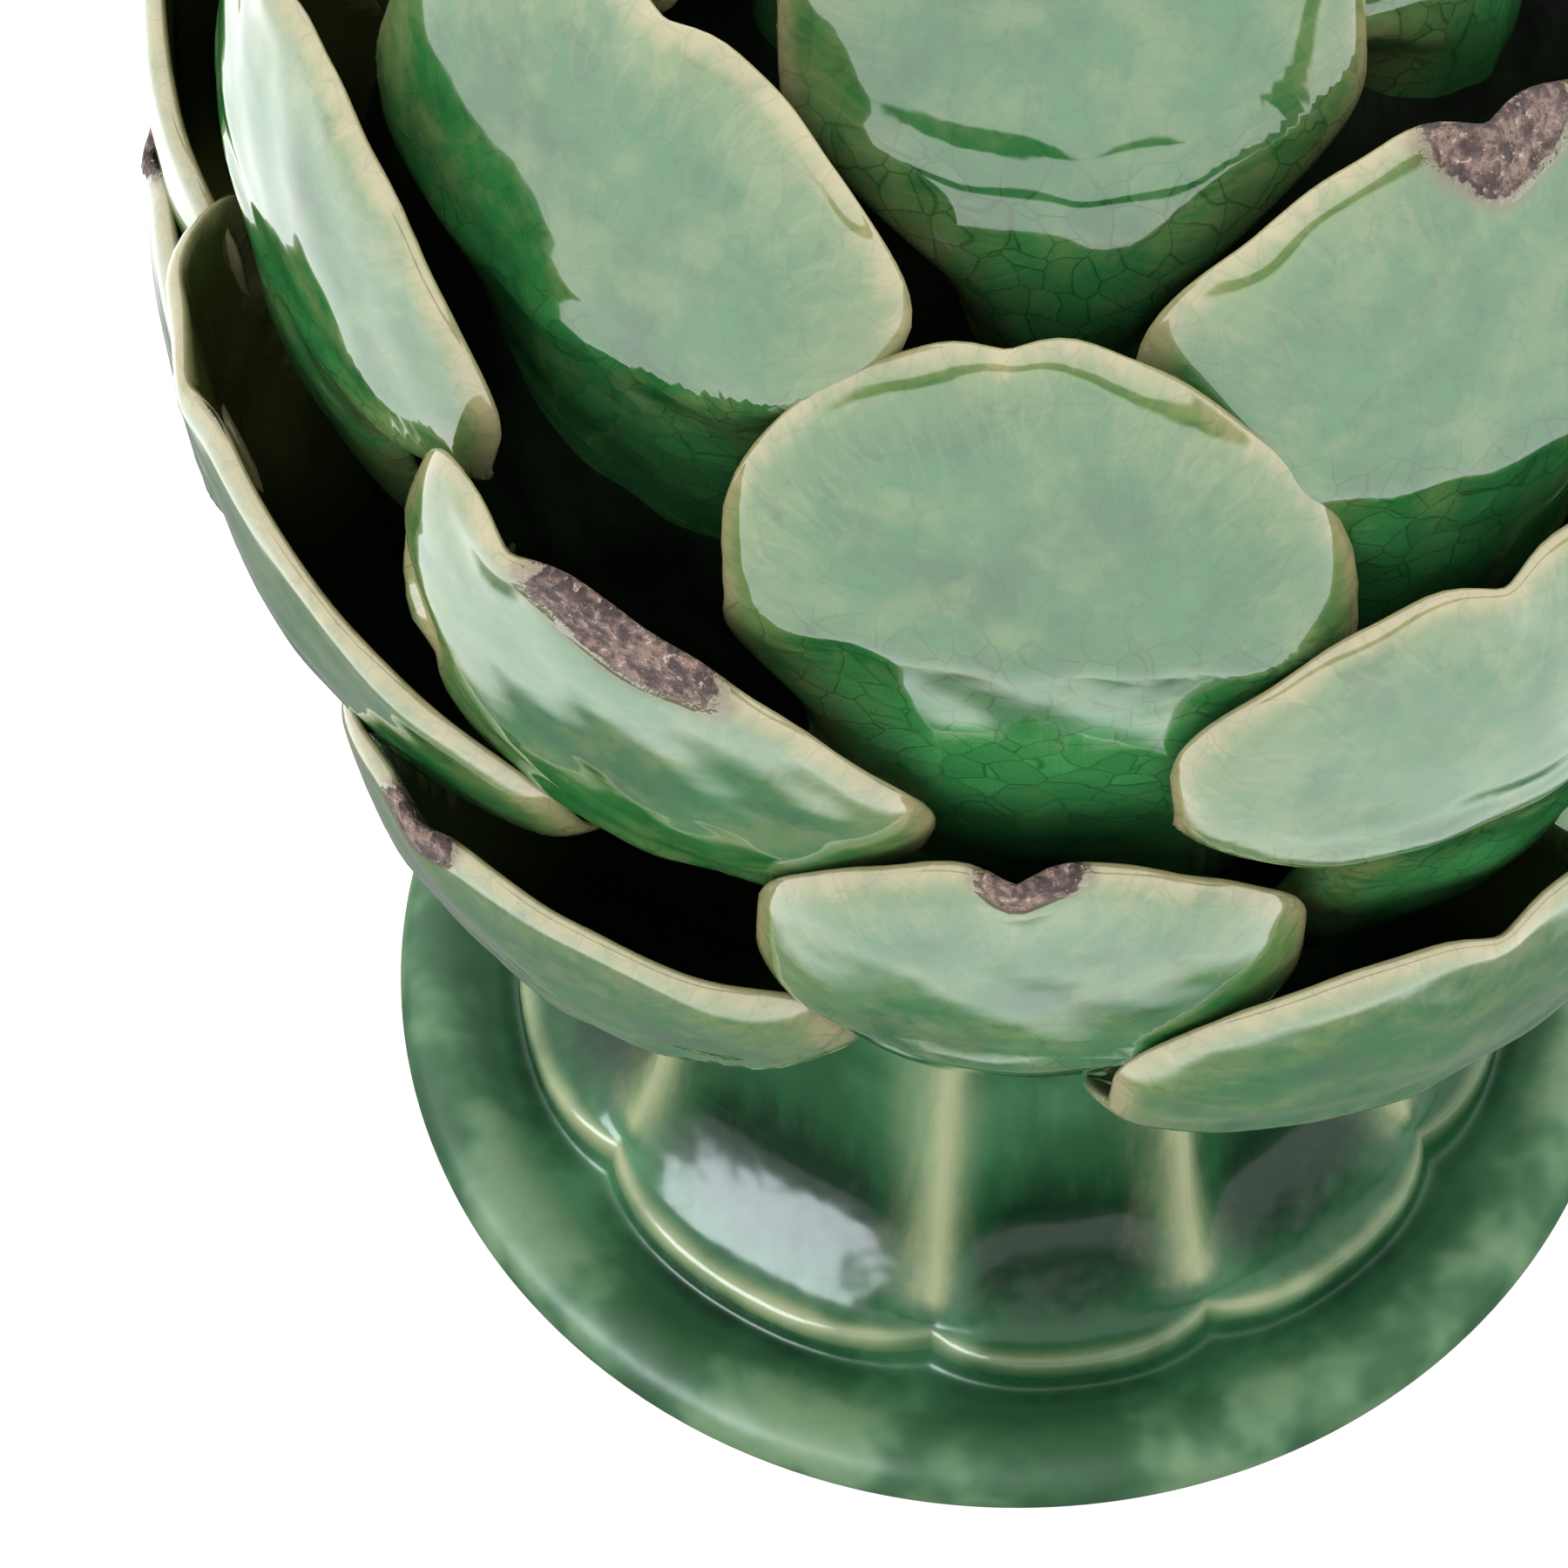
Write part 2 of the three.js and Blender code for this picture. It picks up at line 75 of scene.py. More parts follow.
# The leaves of the front. "bare" lists unglazed spots: mm right of the middle, mm below
# the top edge, half width and half height.
FRONT_LEAVES = [
    # lowest ring
    dict(turn=-89, level=-8, reach=76, pitch=-4, half=26, hold=6, waist=0.85,
         bare=[(-2, 0, 5, 1.6)]),
    dict(turn=-33.5, level=-20.5, reach=80.5, pitch=-14, roll=6, half=25.5, tip=12, drop=12,
         lift_right=2.5, hold=6, waist=0.85, tail=2, sway=-6, notch_at=-0.35, crown=45,
         bare=[(-14, 1, 4, 2.6)]),
    dict(turn=27, level=-20, reach=82, pitch=-9, roll=-2, half=29, hold=6, waist=0.85,
         tuck_left=0.5, tail=2, notch_at=0.1),
    # second ring
    dict(turn=-54.5, level=-2, reach=77, pitch=-12, roll=15, half=28, slant=-3, tuck_left=8,
         tuck_right=1, hold=6, waist=0.85, sway=-8, notch_at=-0.4, crown=50, bow=200,
         bare=[(-14, -0.6, 3, 0.6)]),
    dict(turn=-1, level=-8, reach=76.5, pitch=-1, roll=2, half=23.5, tip=17, square=1.8,
         hold=6, waist=0.85, notch=1.7, notch_at=-0.08, lip=2, bare=[(-1, 0.6, 4.4, 2)]),
    # third ring
    dict(turn=-97, level=10, reach=77, roll=10, half=26, crown=42),
    dict(turn=-27, level=11, reach=77, pitch=-5, roll=15, half=26, tip=15, slant=-4, lip=2,
         lift_left=6, notch_at=-0.6, crease=22, fold=16, fold_radius=10, curl=60, bend=28,
         waist=0.7, bow=120,
         bare=[(-4, 1.5, 8.5, 4)]),
    dict(turn=30, level=10, reach=77, pitch=6, roll=-3, half=28, tip=19, crease=9, fold=12,
         fold_radius=8, curl=100, bend=22),
    # fourth ring
    dict(turn=-66, level=26.5, reach=77, pitch=8, roll=8, half=28, tip=18, square=1.7,
         tuck_right=1, notch=1, notch_at=-0.4, crease=8, fold=6, fold_radius=8, curl=90,
         bend=26),
    dict(turn=-1, level=31, reach=77.5, pitch=28, half=26, tip=18.5, drop=24, square=1.6,
         slant=-1.7, notch=0.9, notch_at=-0.06, sway=-1.5, tuck_left=1.2, crease=8.5, fold=26,
         fold_radius=7, curl=110, bend=22, hold=5, narrow=14, waist=0.74),
    # fifth ring
    dict(turn=-42.5, level=43, reach=76, pitch=24, yaw=-2, roll=-2, half=28, tip=19.5,
         square=2, sway=2, tuck_left=3.5, tuck_right=5, crease=10.5, fold=26,
         fold_radius=7, curl=130, bend=18, hold=6, waist=0.75, crown=250),
    dict(turn=36, level=38, reach=77, pitch=28, yaw=2, roll=11, half=28.5, tip=18,
         square=2, tuck_left=5, crease=10, fold=27, fold_radius=12, curl=120, bend=18, hold=5,
         waist=0.7, bare=[(2, 1, 7, 5)]),
    # sixth ring
    dict(turn=2, level=63, reach=75, pitch=55, half=24, tip=18, crease=12, fold=56,
         fold_radius=13, curl=60, bend=24, narrow=22, waist=0.45),
    dict(turn=64, level=68, reach=73, pitch=54, half=24, tip=18, fold=52, fold_radius=13,
         curl=60, bend=26),
]

# The leaves round the back, ring by ring, and those that close the bud.
REST_OF_RINGS = [
    dict(turns=[88, 148, 208], level=-18, reach=79, pitch=-12, half=26.5, hold=6,
         waist=0.85, tail=2),
    dict(turns=[59, 119, 178, 237], level=-5, reach=77, pitch=-8, half=26, hold=6,
         waist=0.85),
    dict(turns=[90, 149, 206], level=11, reach=77, pitch=3, half=26, crease=9, fold=12,
         fold_radius=8, curl=70, bend=28),
    dict(turns=[66, 124, 181, 239], level=28, reach=76.5, pitch=20, half=26, tip=19,
         crease=10, fold=20, fold_radius=8, curl=75, bend=28),
    dict(turns=[108, 180, 250], level=44, reach=76, pitch=26, half=27, tip=20, crease=11,
         fold=26, fold_radius=10, curl=75, bend=28),
    dict(turns=[136, 207, 276], level=61, reach=74, pitch=50, half=24, tip=18, crease=11,
         fold=48, fold_radius=12, curl=60, bend=26),
    dict(turns=[32, 104, 176, 248, 320], level=74, reach=73, pitch=54, half=17, tip=14,
         drop=12, crease=8, crown=28, wrap=18, fold=50, fold_radius=12, curl=40, bend=26),
    dict(turns=[70, 190, 310], level=84, reach=74, pitch=33, half=11, tip=10, drop=8,
         crease=5, notch=1, crown=12, wrap=10, fold=30, fold_radius=12, curl=30, bend=30),
]

# Shape that all leaves share. Shares are of the way from a leaf's middle to its side.
ROLL_START = 0.68  # share where the left and right ends start to roll back
CORNER_FACE = 3.5  # length of the face at the corners, mm
NICK_WIDTH = 0.13  # half width of the nick in the top edge, a share
CREASE_POWER = 2.2  # how late the U of the crease turns up
CREASE_SLANT = 0.8  # how much of the top edge's slant the crease has
LIP_LENGTH = 4  # mm over which the lip at the nick dies out
WRAP_LENGTH = 10  # mm below the crease over which the body comes to its full roundness
SWAY_START = 8  # mm below the middle where a leaf starts to sway to one side
EDGE_WAVES = [(0.28, 7), (0.16, 17)]  # height in mm and quickness of the top edge's waves

# Relief of the glazed face, mm. Lines along the crease: height, place above it, half width.
CREASE_LINES = [(-0.32, 0.4, 1.3), (0.16, -2, 1.3), (-0.07, 4.6, 1)]
DENT = 0.2
SMALL_DENT = 0.12
PINCH = 0.12
CHIP_DEPTH = 0.45

# The fan of streaks on a leaf starts this far below its crease, and is this wide a radian, mm.
FAN_START = 6
FAN_SPREAD = 14

# How much the leaves of the rings differ from one another, either way.
HAND = dict(turn=3, level=1.5, reach=0.8, pitch=3, yaw=4, roll=7, half=1, tip=1,
            sway=3, notch_at=0.4)
HAND_SEED = 2711
WAVE_SEED = 40


def make_draw(seed):
    """A repeatable source of numbers from 0 to 1, the same as the part's source has."""
    modulus = 2147483647
    state = seed

    def draw():
        nonlocal state
        state = (state * 16807) % modulus
        return state / modulus

    return draw


def all_leaves():
    draw = make_draw(HAND_SEED)
    leaves = [{**LEAF, **leaf} for leaf in FRONT_LEAVES]
    for ring in REST_OF_RINGS:
        shared = {key: value for key, value in ring.items() if key != "turns"}
        for turn in ring["turns"]:
            leaf = {**LEAF, **shared, "turn": turn}
            for key, spread in HAND.items():
                leaf[key] += spread * (2 * draw() - 1)
            leaves.append(leaf)
    waves = np.random.default_rng(WAVE_SEED)
    for number, leaf in enumerate(leaves):
        leaf.setdefault("bare", [])
        leaf["number"] = number
        leaf["phase"] = waves.uniform(0, 2 * math.pi, 8)
        leaf["tone"] = waves.uniform(0, 1)
    return [SimpleNamespace(**leaf) for leaf in leaves]


# ---------------------------------------------------------------- shape of one leaf


def smooth(value):
    t = np.clip(value, 0, 1)
    return t * t * (3 - 2 * t)


def bump_at(value, centre, width):
    return np.exp(-(((value - centre) / width) ** 2))


def leaf_axes(leaf):
    """Right across the face, up the face, out of it, and away from the bulb's axis."""
    turn = math.radians(leaf.turn)
    pitch = math.radians(leaf.pitch)
    yaw = math.radians(leaf.yaw)
    roll = math.radians(leaf.roll)
    radial = np.array([math.sin(turn), -math.cos(turn), 0])
    across = np.array([math.cos(turn), math.sin(turn), 0])
    upright = np.array([0, 0, 1])
    out = radial * math.cos(pitch) + upright * math.sin(pitch)
    up = upright * math.cos(pitch) - radial * math.sin(pitch)
    right = across * math.cos(yaw) - out * math.sin(yaw)
    outward = out * math.cos(yaw) + across * math.sin(yaw)
    rolled_right = right * math.cos(roll) - up * math.sin(roll)
    rolled_up = up * math.cos(roll) + right * math.sin(roll)
    return SimpleNamespace(right=rolled_right, up=rolled_up, out=outward, radial=radial)


def leaf_line(leaf, across):
    """Top edge, length of face and nearness to the nick of a leaf's lengthwise lines."""
    side = np.abs(across)
    nick = bump_at(across, leaf.notch_at, NICK_WIDTH)
    waves = zip(EDGE_WAVES, leaf.phase)
    wave = sum(size * np.sin(rate * across + phase) for (size, rate), phase in waves)
    lift = leaf.lift_left * np.maximum(0, -across) ** 3 + leaf.lift_right * np.maximum(0, across) ** 3
    rounding = 1 - np.sqrt(np.maximum(0, 1 - side**leaf.square))
    top = leaf.tip - leaf.drop * rounding + leaf.slant * across - leaf.notch * nick + lift
    corner = leaf.tip - leaf.drop - CORNER_FACE + lift
    crease = -leaf.crease + (leaf.crease + corner) * side**CREASE_POWER
    crease = crease + CREASE_SLANT * leaf.slant * across
    return top + wave * (1 - side**4), np.maximum(1, top - crease), nick


def leaf_point(leaf, axes, across, down):
    """Points of the outer face. Across is -1 to 1, down is mm below the top edge."""
    top, face, nick = leaf_line(leaf, across)
    below = np.maximum(0, down - face)
    lost, depth = curl_path(leaf, below)
    height = top - np.minimum(down, face) - lost
    side = flat_side(leaf, across, height, below)
    lip = leaf.lip * nick * np.exp(-down / LIP_LENGTH)
    wrapping = smooth(below / WRAP_LENGTH)
    roundness = (1 - wrapping) / leaf.crown + wrapping / leaf.wrap
    on_face = np.maximum(height, top - face)
    bowed = on_face**2 / 2 + on_face * (height - on_face)
    out = lip - depth - side**2 * roundness / 2 - bowed / leaf.bow - rolled_end(leaf, across)
    level = math.radians(leaf.level)
    middle = axes.radial * leaf.reach * math.cos(level)
    middle = middle + np.array([0, 0, HEAD_HEIGHT + leaf.reach * math.sin(level)])
    spread = height[..., None] * axes.up + side[..., None] * axes.right
    return middle + spread + out[..., None] * axes.out


def rolled_end(leaf, across):
    """How far the left and right ends roll back."""
    past = np.maximum(0, (np.abs(across) - ROLL_START) / (1 - ROLL_START))
    return np.where(across < 0, leaf.tuck_left, leaf.tuck_right) * past**2


def curl_path(leaf, below):
    """Height lost and depth gained below the crease: a fold, a slower curl, then straight."""
    fold = math.radians(leaf.fold)
    bend = math.radians(leaf.bend)
    folded = np.minimum(below / leaf.fold_radius, fold)
    past_fold = below - leaf.fold_radius * fold
    turned = fold + np.clip(past_fold / leaf.curl, 0, bend)
    tail = np.maximum(0, past_fold - leaf.curl * bend)
    lost = leaf.fold_radius * np.sin(folded) + leaf.curl * (np.sin(turned) - math.sin(fold))
    depth = leaf.fold_radius * (1 - np.cos(folded)) + leaf.curl * (math.cos(fold) - np.cos(turned))
    return lost + tail * math.cos(fold + bend), depth + tail * math.sin(fold + bend)


def curl_length(leaf):
    return leaf.fold_radius * math.radians(leaf.fold) + leaf.curl * math.radians(leaf.bend)


def flat_side(leaf, across, height, below):
    """How far right of the leaf's middle line a place is."""
    narrowing = (1 - leaf.waist) * smooth((below - leaf.hold) / leaf.narrow)
    half = leaf.half * (1 - narrowing)
    shift = leaf.sway * np.maximum(0, (height + SWAY_START) / (leaf.tip + SWAY_START))
    return across * half + shift


def leaf_normal(leaf, axes, across, down):
    """Out of the face, from places a little to each side, above and below."""
    step = 0.01
    slip = 0.3
    height = leaf_line(leaf, across)[0] - down
    sides = []
    for place in (across - step, across + step):
        top = leaf_line(leaf, place)[0]
        sides.append(leaf_point(leaf, axes, place, top - height))
    upper = leaf_point(leaf, axes, across, down - slip)
    lower = leaf_point(leaf, axes, across, down + slip)
    normal = np.cross(sides[1] - sides[0], upper - lower)
    return normal / np.linalg.norm(normal, axis=-1, keepdims=True)


def edge_steps():
    """Distances from a rim, close together where the surface turns over it."""
    return OUTER_ROUND * (1 - np.cos(np.radians(np.arange(0, 90, EDGE_ANGLE_STEP))))


def leaf_grid(leaf):
    """Places of the grid: a row of across, and for each a column of down."""
    edge = edge_steps()
    width = 2 * leaf.half
    middle_count = round((width - 2 * OUTER_ROUND) / GRID_STEP) + 1
    middle = np.linspace(OUTER_ROUND, width - OUTER_ROUND, middle_count)
    distances = np.concatenate([edge, middle, width - edge[::-1]])
    across = distances / leaf.half - 1
    _, face, _ = leaf_line(leaf, across)
    body = face + curl_length(leaf)
    longest = body.max()
    body_count = round((longest - OUTER_ROUND) / GRID_STEP)
    share = np.linspace(0, 1, body_count)
    tail = np.linspace(0, leaf.tail, TAIL_ROWS + 1)[1:]
    down = np.concatenate([
        np.repeat(edge[:, None], len(across), axis=1),
        OUTER_ROUND + share[:, None] * (body - OUTER_ROUND),
        body + tail[:, None] + 0 * across,
    ])
    return np.broadcast_to(across, down.shape), down


def flat_place(leaf, across, down):
    """Where a place would be if the leaf were laid flat, mm: right, and up."""
    top, face, _ = leaf_line(leaf, across)
    below = np.maximum(0, down - face)
    lost, _ = curl_path(leaf, below)
    side = flat_side(leaf, across, top - np.minimum(down, face) - lost, below)
    return np.stack([side, top - down], axis=-1)


def rim_distance(leaf, across, down):
    """Distance to the top and side edges, over the flat leaf."""
    step = 0.4
    batches = 8
    length = float(down[:, 0].max())
    top_across = np.sin(np.linspace(-math.pi / 2, math.pi / 2, round(4 * leaf.half / step)))
    side_down = np.arange(0, length, step)
    outline = np.concatenate([
        flat_place(leaf, top_across, 0 * top_across),
        flat_place(leaf, 0 * side_down - 1, side_down),
        flat_place(leaf, 0 * side_down + 1, side_down),
    ])
    flat = flat_place(leaf, across, down).reshape(-1, 2)
    nearest = np.full(len(flat), np.inf)
    for part in np.array_split(outline, batches):
        gap = np.linalg.norm(flat[:, None, :] - part[None, :, :], axis=-1)
        nearest = np.minimum(nearest, gap.min(axis=1))
    nearest = nearest.reshape(across.shape)
    nearest[0, :] = 0
    nearest[:, 0] = 0
    nearest[:, -1] = 0
    return nearest


def bare_nearness(leaf, flat, down):
    """1 in the middle of an unglazed spot, 0.5 at its edge, falling to 0 around it."""
    nearness = np.zeros(down.shape)
    for right, under, half_width, half_height in leaf.bare:
        aside = (flat[..., 0] - right) / half_width
        apart = (down - under) / half_height
        nearness = np.maximum(nearness, np.clip(1 - np.hypot(aside, apart) / 2, 0, 1))
    return nearness


def leaf_relief(leaf, across, down, flat, bare):
    """How far the glazed face stands above the plain one, mm."""
    _, face, _ = leaf_line(leaf, across)
    above = face - down
    middle = 1 - np.abs(across) ** 4
    crease = sum(size * bump_at(above, place, width) for size, place, width in CREASE_LINES)
    x = flat[..., 0]
    y = flat[..., 1]
    phase = leaf.phase
    dents = DENT * np.sin(x / 4.4 + phase[2]) * np.sin(y / 5.2 + phase[3])
    small = np.sin(x / 2.3 + y / 3.9 + phase[4]) * np.sin(y / 3.1 + phase[5])
    dents = dents + SMALL_DENT * small
    pinched = PINCH * np.sin(x / 1.5 + phase[6]) * bump_at(above, -6, 5)
    chip = -CHIP_DEPTH * smooth((bare - 0.42) / 0.2)
    return crease * middle + dents + pinched + chip


def leaf_mesh(leaf):
    """Points, faces and, for each point, what the glaze is painted by."""
    axes = leaf_axes(leaf)
    across, down = leaf_grid(leaf)
    face_points = leaf_point(leaf, axes, across, down)
    normals = leaf_normal(leaf, axes, across, down)
    flat = flat_place(leaf, across, down)
    rim = rim_distance(leaf, across, down)
    bare = bare_nearness(leaf, flat, down)
    half = LEAF_THICKNESS / 2
    outer_full = np.sqrt(1 - (1 - np.clip(rim / OUTER_ROUND, 0, 1)) ** 2)
    inner_full = np.sqrt(1 - (1 - np.clip(rim / INNER_ROUND, 0, 1)) ** 2)
    inner_full = inner_full * (THIN_RIM + (1 - THIN_RIM) * smooth(rim / THICKENING))
    relief = leaf_relief(leaf, across, down, flat, bare) * smooth(rim / OUTER_ROUND)
    outer_depth = half * (1 - outer_full) - relief
    inner_depth = half * (1 + inner_full)
    outer = face_points - normals * outer_depth[..., None]
    inner = face_points - normals * inner_depth[..., None]

    rows, columns = across.shape
    outer_index = np.arange(rows * columns).reshape(rows, columns)
    own = np.ones((rows, columns), bool)
    own[0, :] = False
    own[:, 0] = False
    own[:, -1] = False
    inner_index = outer_index.copy()
    inner_index[own] = rows * columns + np.arange(own.sum())
    faces = quads(outer_index) + quads(inner_index[:, ::-1])
    for column in range(columns - 1):
        ring = [
            outer_index[-1, column + 1], outer_index[-1, column],
            inner_index[-1, column], inner_index[-1, column + 1],
        ]
        faces.append(list(dict.fromkeys(int(i) for i in ring)))

    _, face, _ = leaf_line(leaf, across)
    fan_right = flat[..., 0]
    fan_up = flat[..., 1] + leaf.crease + FAN_START
    values = {
        "rim": rim, "below": down - face, "bare": bare,
        "inside": np.where(own, 0.0, 0.5),
        "tone": np.full(rim.shape, leaf.tone),
        "fan_turn": np.arctan2(fan_right, fan_up) * FAN_SPREAD,
        "fan_reach": np.hypot(fan_right, fan_up),
    }
    attributes = {}
    for name, value in values.items():
        back = np.ones(own.sum()) if name == "inside" else value[own]
        attributes[name] = np.concatenate([value.ravel(), back])
    points = np.concatenate([outer.reshape(-1, 3), inner[own]])
    return points, faces, attributes


def quads(index):
    """Quads over a grid of point numbers whose rows go down and columns to the right."""
    corners = [index[:-1, :-1], index[1:, :-1], index[1:, 1:], index[:-1, 1:]]
    return np.stack(corners, axis=-1).reshape(-1, 4).tolist()


# ---------------------------------------------------------------- bulb and foot

# Radius and height, mm.
BULB_PROFILE = [
    (NECK_RADIUS, NECK_HEIGHT + JOIN_GAP), (NECK_RADIUS + 4, NECK_HEIGHT + JOIN_GAP + 3),
    (46, 76), (54, 86), (58.5, 99), (59.5, 114), (58, 130), (54, 148), (46.5, 166),
    (34, 183), (19, 194), (0.5, 199),
]
BULB_STEPS = 6  # rows from each of these to the next
BULB_TURN_STEP = 3  # degrees
BULB_DENT = 0.006  # share of the radius


def through(values, steps):
    """A smooth line through values, with this many steps from each to the next."""
    values = np.asarray(values, float)
    padded = np.concatenate([[2 * values[0] - values[1]], values, [2 * values[-1] - values[-2]]])
    before, start, end, after = padded[:-3], padded[1:-2], padded[2:-1], padded[3:]
    t = np.arange(steps) / steps
    pieces = []
    for a, b, c, d in zip(before, start, end, after):
        bend = 2 * b + (c - a) * t + (2 * a - 5 * b + 4 * c - d) * t**2
        pieces.append(0.5 * (bend + (3 * b - a - 3 * c + d) * t**3))
    return np.append(np.concatenate(pieces), values[-1])


def closed_ring_mesh(points):
    """Closes rows of rings, from the lowest row to the highest, with a middle point each."""
    rows, columns, _ = points.shape
    index = np.arange(rows * columns).reshape(rows, columns)
    wrapped = np.concatenate([index, index[:, :1]], axis=1)
    faces = quads(wrapped[::-1])
    under = rows * columns
    over = under + 1
    for i in range(columns):
        j = (i + 1) % columns
        faces.append([under, int(index[0, j]), int(index[0, i])])
        faces.append([over, int(index[-1, i]), int(index[-1, j])])
    middles = [[0, 0, points[0, 0, 2]], [0, 0, points[-1, 0, 2]]]
    return np.concatenate([points.reshape(-1, 3), middles]), faces


def bulb_mesh():
    radius, height = [through(column, BULB_STEPS) for column in zip(*BULB_PROFILE)]
    turn = np.radians(np.arange(0, 360, BULB_TURN_STEP))
    dents = np.sin(5 * turn + height[:, None] / 9) * np.sin(height[:, None] / 7)
    dents = 1 + BULB_DENT * dents
    x = radius[:, None] * np.sin(turn) * dents
    y = -radius[:, None] * np.cos(turn) * dents
    z = np.broadcast_to(height[:, None], x.shape)
    points, faces = closed_ring_mesh(np.stack([x, y, z], axis=-1))
    return points, faces, {}


# Where the raised ribs between the flutes are, in degrees as a leaf's turn.
RIB_TURNS = [-58, -10.5, 23.5, 60, 100, 140, 180, 220, 261]

# Levels of the pedestal: radius on a rib, height, how far the surface goes in (or, on the
# scalloped edge, out) in the middle of a flute, and how thick the glaze lies, with painted shade and painted
# dark reflection on top, 0 to 1.
PEDESTAL_LEVELS = [
    (53, 0, 0, 0.3),
    (56.6, 1, 0, 0.2),
    (FOOT_RADIUS, 3.4, 0, 0),
    (57, 6.2, 0, 0),
    (53.4, 7.2, 0, 0.15),
    (48.8, 6, -0.6, 0.55),
    (45.2, 5.6, -1.8, 0.7),
    (44.2, 9.2, -2.6, 0.1),
    (42.8, 10.8, -0.8, 0.6),
    (40.4, 17, 3, 1.1),
    (39.2, 22, 3.4, 0.85),
    (37.4, 32, 3, 0.4),
    (35.2, 44, 2.4, 0.3),
    (33.4, 56, 1.6, 0.4),
    (NECK_RADIUS, NECK_HEIGHT, 0, 0.5),
]
PEDESTAL_STEPS = 7  # rows from each of these to the next
FLUTE_CELLS = 26  # columns from a rib to the next

# Where the glaze thins on the pedestal, mm.
SCALLOP_RADIUS = 44.0  # radius of the scalloped edge
SCALLOP_WIDTH = 0.6
CHANNEL_TOP = 7.5  # height between the channel and the scalloped edge
WALL_START = 9.9  # height where the ribs start
WALL_FADE = 3
RIB_FADE_AFTER = 1.9
RIB_FADE_BEFORE = 2.8
OUTWARD_FADE = 9


def flute_columns():
    """Turn of each column of the foot in radians, and its share of the way from rib to rib."""
    even = np.arange(FLUTE_CELLS) / FLUTE_CELLS
    share = smooth(even) * 0.5 + even * 0.5
    ends = RIB_TURNS[1:] + [RIB_TURNS[0] + 360]
    turns = [start + (end - start) * share for start, end in zip(RIB_TURNS, ends)]
    return np.radians(np.concatenate(turns)), np.tile(share, len(RIB_TURNS))


def foot_mesh():
    columns = [through(column, PEDESTAL_STEPS) for column in zip(*PEDESTAL_LEVELS)]
    radius, height, hollow, depth = columns
    height = np.maximum(height, 0)
    turn, share = flute_columns()
    flute = 1 - np.abs(2 * share - 1) ** 3
    far = radius[:, None] - hollow[:, None] * flute
    x = far * np.sin(turn)
    y = -far * np.cos(turn)
    z = np.broadcast_to(height[:, None], x.shape)
    points, faces = closed_ring_mesh(np.stack([x, y, z], axis=-1))
    mean_flute = math.radians(360 / len(RIB_TURNS))
    after_rib = share * mean_flute * radius[:, None]
    before_rib = (1 - share) * mean_flute * radius[:, None]
    on_wall = smooth((height[:, None] - WALL_START) / WALL_FADE)
    rib = np.exp(-after_rib / RIB_FADE_AFTER) + np.exp(-before_rib / RIB_FADE_BEFORE)
    on_scallop = bump_at(radius, SCALLOP_RADIUS, SCALLOP_WIDTH) * (height > CHANNEL_TOP)
    outward = np.clip((radius - SCALLOP_RADIUS) / OUTWARD_FADE, 0, 1)
    values = {
        # pooled glaze with painted shade and painted dark reflection, most in the middle of the flutes
        "pool_and_shade": np.clip(depth, 0, 1)[:, None] * (0.25 + 0.75 * flute),
        "rib": rib * on_wall,
        "edge": on_scallop[:, None] + 0 * flute,
        "outward": outward[:, None] + 0 * flute,
    }
    attributes = {name: np.append(value.ravel(), [0, 0]) for name, value in values.items()}
    return points, faces, attributes


# ---------------------------------------------------------------- materials


